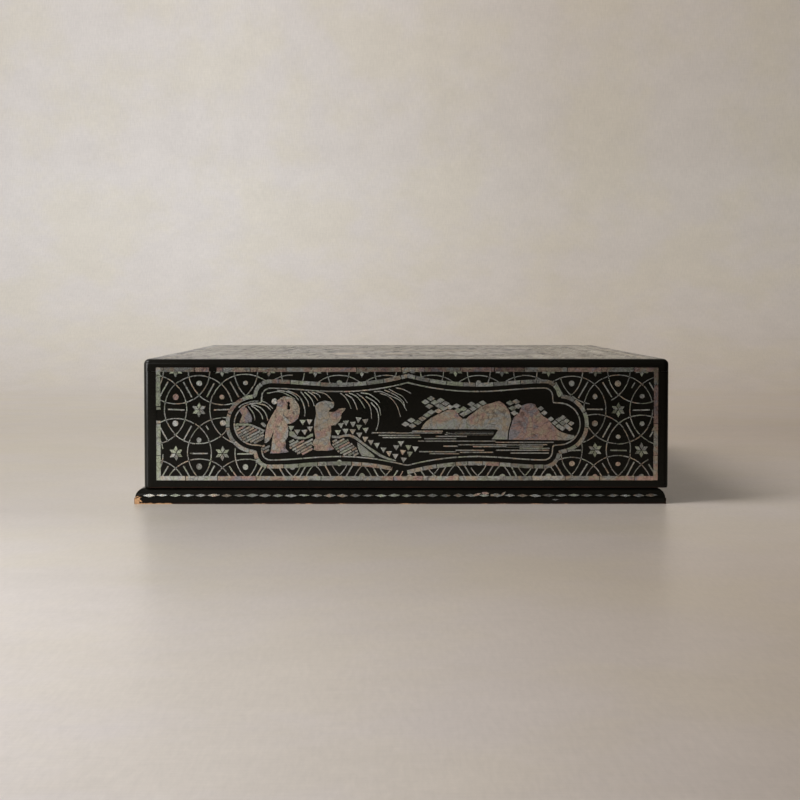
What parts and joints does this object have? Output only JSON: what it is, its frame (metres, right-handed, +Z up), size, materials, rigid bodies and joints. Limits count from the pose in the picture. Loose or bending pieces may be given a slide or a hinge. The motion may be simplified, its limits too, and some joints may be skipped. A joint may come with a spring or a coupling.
{
  "type": "lidded lacquer box",
  "caption": "Low rectangular document box in black lacquer: a deep cover with shell let into its faces lifts straight off a walled tray on a moulded plinth.",
  "frame": {"origin": "middle of the underside, on the surface that the box stands on", "axes": "+X to the right and +Z up, with the pictured front facing -Y"},
  "size_m": [0.2764, 0.3634, 0.075],
  "materials": {
    "black_lacquer": "polished black lacquer over a wooden board",
    "inner_lacquer": "satin black lacquer over a wooden board",
    "peg_wood": "bare bamboo",
    "shell": "polished mother-of-pearl"
  },
  "bodies": {
    "tray": {"tray_front_wall": "inner_lacquer", "tray_back_wall": "inner_lacquer", "tray_left_wall": "inner_lacquer", "tray_right_wall": "inner_lacquer", "tray_floor": "inner_lacquer", "plinth_front_moulding": "black_lacquer", "plinth_back_moulding": "black_lacquer", "plinth_left_moulding": "black_lacquer", "plinth_right_moulding": "black_lacquer", "tray_peg_front_left_low": "peg_wood", "tray_peg_front_left_high": "peg_wood", "tray_peg_front_right_low": "peg_wood", "tray_peg_front_right_high": "peg_wood", "tray_peg_back_left_low": "peg_wood", "tray_peg_back_left_high": "peg_wood", "tray_peg_back_right_low": "peg_wood", "tray_peg_back_right_high": "peg_wood"},
    "cover": {"cover_front_board": "black_lacquer", "cover_back_board": "black_lacquer", "cover_left_board": "black_lacquer", "cover_right_board": "black_lacquer", "cover_top_board": "black_lacquer", "cover_peg_front_left_low": "peg_wood", "cover_peg_front_left_high": "peg_wood", "cover_peg_front_right_low": "peg_wood", "cover_peg_front_right_high": "peg_wood", "cover_peg_back_left_low": "peg_wood", "cover_peg_back_left_high": "peg_wood", "cover_peg_back_right_low": "peg_wood", "cover_peg_back_right_high": "peg_wood", "shell_front_border": "shell", "shell_front_cartouche": "shell", "shell_right_border": "shell", "shell_right_cartouche": "shell", "shell_back_border": "shell", "shell_back_cartouche": "shell", "shell_left_border": "shell", "shell_left_cartouche": "shell", "shell_top_border": "shell", "shell_top_cartouche": "shell"}
  },
  "joints": [
    {"name": "cover_lift", "type": "slide", "parent": "tray", "child": "cover", "axis": [0, 0, 1], "range_m": [0, 0.07]}
  ]
}
